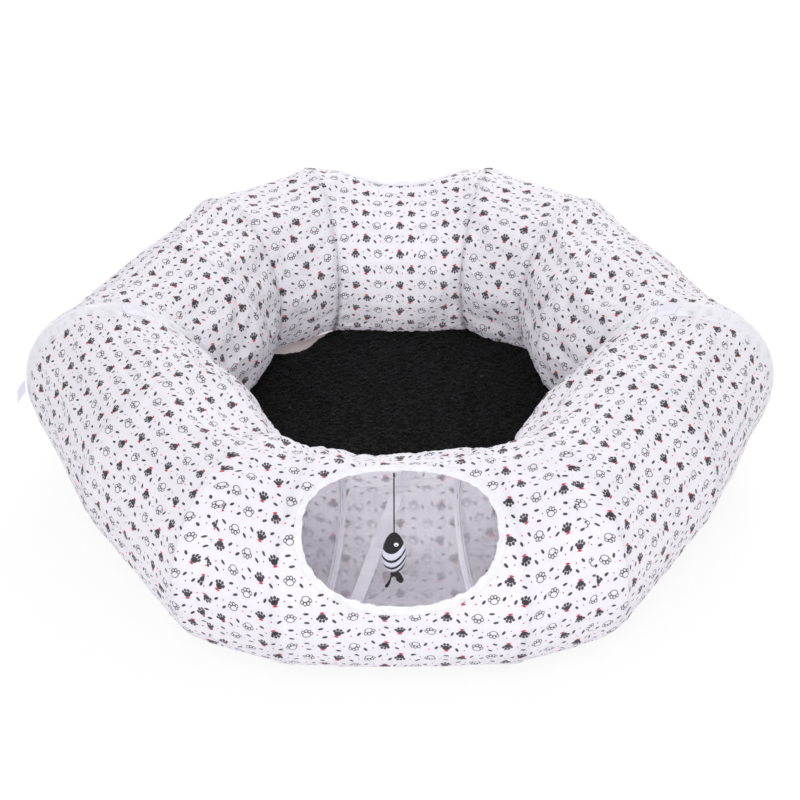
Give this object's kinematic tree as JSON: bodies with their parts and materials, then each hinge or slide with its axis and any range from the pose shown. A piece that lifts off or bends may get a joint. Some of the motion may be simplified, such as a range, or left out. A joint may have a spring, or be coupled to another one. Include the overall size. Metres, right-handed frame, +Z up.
{
  "type": "donut cat tunnel",
  "caption": "Ring-shaped cat tunnel of printed cloth on spring wire hoops, with two oval entrances, a hanging fish toy and a plush mat in its middle.",
  "frame": {"origin": "on the floor at the middle of the ring, under the mat", "axes": "+Z up, +X through the right joint of the two halves, the front entrance faces -Y"},
  "size_m": [0.9132, 0.8603, 0.2359],
  "materials": {
    "printed_cloth": "thin printed polyester",
    "binding_cloth": "white woven binding",
    "casing_tape": "woven tape",
    "spring_wire": "tempered spring wire",
    "hook_tape": "hook and loop tape",
    "plush": "short curly plush",
    "wadding": "fibre wadding",
    "mat_backing": "plain woven backing",
    "toy_black": "felt and string",
    "toy_white": "stuffed striped cloth"
  },
  "bodies": {
    "root": {"front_hoop_1": "spring_wire", "back_hoop_1": "spring_wire", "front_right_hem": "binding_cloth", "back_right_hem": "binding_cloth", "right_joint_loop_tape": "hook_tape", "right_joint_hook_tape": "hook_tape"},
    "front_rib_2": {"front_hoop_2": "spring_wire", "front_casing_2": "casing_tape", "front_right_panel": "printed_cloth"},
    "front_rib_3": {"front_hoop_3": "spring_wire", "front_casing_3": "casing_tape"},
    "front_rib_4": {"front_hoop_4": "spring_wire", "front_casing_4": "casing_tape"},
    "front_rib_5": {"front_hoop_5": "spring_wire", "front_casing_5": "casing_tape"},
    "front_rib_6": {"front_hoop_6": "spring_wire", "front_casing_6": "casing_tape"},
    "front_rib_7": {"front_hoop_7": "spring_wire", "front_casing_7": "casing_tape", "front_left_panel": "printed_cloth"},
    "front_entrance": {"front_panel": "printed_cloth", "front_entrance_binding": "binding_cloth", "front_seam_tape": "casing_tape", "care_label": "hook_tape"},
    "front_end": {"front_hoop_8": "spring_wire", "front_left_hem": "binding_cloth", "left_joint_loop_tape": "hook_tape"},
    "back_rib_2": {"back_hoop_2": "spring_wire", "back_casing_2": "casing_tape", "back_right_panel": "printed_cloth"},
    "back_rib_3": {"back_hoop_3": "spring_wire", "back_casing_3": "casing_tape"},
    "back_rib_4": {"back_hoop_4": "spring_wire", "back_casing_4": "casing_tape"},
    "back_rib_5": {"back_hoop_5": "spring_wire", "back_casing_5": "casing_tape"},
    "back_rib_6": {"back_hoop_6": "spring_wire", "back_casing_6": "casing_tape"},
    "back_rib_7": {"back_hoop_7": "spring_wire", "back_casing_7": "casing_tape", "back_left_panel": "printed_cloth"},
    "back_entrance": {"back_panel": "printed_cloth", "back_entrance_binding": "binding_cloth"},
    "back_end": {"back_hoop_8": "spring_wire", "back_left_hem": "binding_cloth", "left_joint_hook_tape": "hook_tape"},
    "storage_strap": {"storage_strap": "binding_cloth"},
    "mat": {"mat_backing": "mat_backing", "mat_wadding": "wadding", "mat_plush": "plush"},
    "toy_knot": {"toy_knot": "toy_black"},
    "toy_string": {"toy_string": "toy_black"},
    "fish": {"fish_body": "toy_white", "fish_tail": "toy_black", "fish_eye_front": "toy_white", "fish_eye_back": "toy_white"}
  },
  "joints": [
    {"name": "front_fold", "type": "hinge", "parent": "root", "child": "front_rib_2", "pos_m": [0, 0, 0], "axis": [0, 0, 1], "range_deg": [0, 28.3], "deforming": ["front_right_panel", "front_left_panel", "front_panel", "front_entrance_binding", "front_seam_tape", "care_label"]},
    {"name": "front_rib_3_fold", "type": "hinge", "parent": "front_rib_2", "child": "front_rib_3", "pos_m": [0, 0, 0], "axis": [0, 0, 1], "range_deg": [0, 24.4], "deforming": ["front_right_panel", "front_left_panel", "front_panel", "front_entrance_binding", "front_seam_tape", "care_label"]},
    {"name": "front_rib_4_fold", "type": "hinge", "parent": "front_rib_3", "child": "front_rib_4", "pos_m": [0, 0, 0], "axis": [0, 0, 1], "range_deg": [0, 11.4], "deforming": ["front_right_panel", "front_left_panel", "front_panel", "front_entrance_binding", "front_seam_tape", "care_label"]},
    {"name": "front_entrance_fold", "type": "hinge", "parent": "front_rib_4", "child": "front_entrance", "pos_m": [0, 0, 0], "axis": [0, 0, 1], "range_deg": [0, 11], "deforming": ["front_right_panel", "front_left_panel", "front_panel", "front_entrance_binding", "front_seam_tape", "care_label"]},
    {"name": "front_rib_5_fold", "type": "hinge", "parent": "front_entrance", "child": "front_rib_5", "pos_m": [0, 0, 0], "axis": [0, 0, 1], "range_deg": [0, 11], "deforming": ["front_right_panel", "front_left_panel", "front_panel", "front_entrance_binding", "front_seam_tape", "care_label"]},
    {"name": "front_rib_6_fold", "type": "hinge", "parent": "front_rib_5", "child": "front_rib_6", "pos_m": [0, 0, 0], "axis": [0, 0, 1], "range_deg": [0, 11.4], "deforming": ["front_right_panel", "front_left_panel", "front_panel", "front_entrance_binding", "front_seam_tape", "care_label"]},
    {"name": "front_rib_7_fold", "type": "hinge", "parent": "front_rib_6", "child": "front_rib_7", "pos_m": [0, 0, 0], "axis": [0, 0, 1], "range_deg": [0, 24.4], "deforming": ["front_right_panel", "front_left_panel", "front_panel", "front_entrance_binding", "front_seam_tape", "care_label"]},
    {"name": "front_end_fold", "type": "hinge", "parent": "front_rib_7", "child": "front_end", "pos_m": [0, 0, 0], "axis": [0, 0, 1], "range_deg": [0, 28.29], "deforming": ["front_right_panel", "front_left_panel", "front_panel", "front_entrance_binding", "front_seam_tape", "care_label"]},
    {"name": "back_fold", "type": "hinge", "parent": "root", "child": "back_rib_2", "pos_m": [0, 0, 0], "axis": [0, 0, -1], "range_deg": [0, 22.3], "deforming": ["back_right_panel", "back_left_panel", "back_panel", "back_entrance_binding"]},
    {"name": "back_rib_3_fold", "type": "hinge", "parent": "back_rib_2", "child": "back_rib_3", "pos_m": [0, 0, 0], "axis": [0, 0, -1], "range_deg": [0, 20.4], "deforming": ["back_right_panel", "back_left_panel", "back_panel", "back_entrance_binding"]},
    {"name": "back_rib_4_fold", "type": "hinge", "parent": "back_rib_3", "child": "back_rib_4", "pos_m": [0, 0, 0], "axis": [0, 0, -1], "range_deg": [0, 18.4], "deforming": ["back_right_panel", "back_left_panel", "back_panel", "back_entrance_binding"]},
    {"name": "back_entrance_fold", "type": "hinge", "parent": "back_rib_4", "child": "back_entrance", "pos_m": [0, 0, 0], "axis": [0, 0, -1], "range_deg": [0, 17.7], "deforming": ["back_right_panel", "back_left_panel", "back_panel", "back_entrance_binding"]},
    {"name": "back_rib_5_fold", "type": "hinge", "parent": "back_entrance", "child": "back_rib_5", "pos_m": [0, 0, 0], "axis": [0, 0, -1], "range_deg": [0, 17.7], "deforming": ["back_right_panel", "back_left_panel", "back_panel", "back_entrance_binding"]},
    {"name": "back_rib_6_fold", "type": "hinge", "parent": "back_rib_5", "child": "back_rib_6", "pos_m": [0, 0, 0], "axis": [0, 0, -1], "range_deg": [0, 18.4], "deforming": ["back_right_panel", "back_left_panel", "back_panel", "back_entrance_binding"]},
    {"name": "back_rib_7_fold", "type": "hinge", "parent": "back_rib_6", "child": "back_rib_7", "pos_m": [0, 0, 0], "axis": [0, 0, -1], "range_deg": [0, 20.4], "deforming": ["back_right_panel", "back_left_panel", "back_panel", "back_entrance_binding"]},
    {"name": "back_end_fold", "type": "hinge", "parent": "back_rib_7", "child": "back_end", "pos_m": [0, 0, 0], "axis": [0, 0, -1], "range_deg": [0, 22.29], "deforming": ["back_right_panel", "back_left_panel", "back_panel", "back_entrance_binding"]},
    {"name": "mat_lift", "type": "slide", "parent": "root", "child": "mat", "axis": [0, 0, 1], "range_m": [0, 0.25], "deforming": ["mat_backing", "mat_wadding", "mat_plush"]},
    {"name": "toy_sway", "type": "hinge", "parent": "front_entrance", "child": "toy_knot", "pos_m": [-0.006, -0.32298, 0.2111], "axis": [0, 1, 0], "range_deg": [-40, 40]},
    {"name": "toy_swing", "type": "hinge", "parent": "toy_knot", "child": "toy_string", "pos_m": [-0.006, -0.32298, 0.2111], "axis": [1, 0, 0], "range_deg": [-60, 35]},
    {"name": "fish_twist", "type": "hinge", "parent": "toy_string", "child": "fish", "pos_m": [-0.006, -0.32298, 0.1406], "axis": [0, 0, 1], "range_deg": [-180, 180]},
    {"name": "strap_flap", "type": "hinge", "parent": "front_end", "child": "storage_strap", "pos_m": [-0.45135, -0.014, 0.117], "axis": [0, 1, 0], "range_deg": [-25, 60]}
  ],
  "couplings": [
    {"joint": "front_rib_3_fold", "follows": "front_fold", "ratio": 0.86219},
    {"joint": "front_rib_4_fold", "follows": "front_fold", "ratio": 0.40283},
    {"joint": "front_entrance_fold", "follows": "front_fold", "ratio": 0.38869},
    {"joint": "front_rib_5_fold", "follows": "front_fold", "ratio": 0.38869},
    {"joint": "front_rib_6_fold", "follows": "front_fold", "ratio": 0.40283},
    {"joint": "front_rib_7_fold", "follows": "front_fold", "ratio": 0.86219},
    {"joint": "front_end_fold", "follows": "front_fold", "ratio": 0.9995},
    {"joint": "back_rib_3_fold", "follows": "back_fold", "ratio": 0.9148},
    {"joint": "back_rib_4_fold", "follows": "back_fold", "ratio": 0.82511},
    {"joint": "back_entrance_fold", "follows": "back_fold", "ratio": 0.79372},
    {"joint": "back_rib_5_fold", "follows": "back_fold", "ratio": 0.79372},
    {"joint": "back_rib_6_fold", "follows": "back_fold", "ratio": 0.82511},
    {"joint": "back_rib_7_fold", "follows": "back_fold", "ratio": 0.9148},
    {"joint": "back_end_fold", "follows": "back_fold", "ratio": 0.99937}
  ]
}
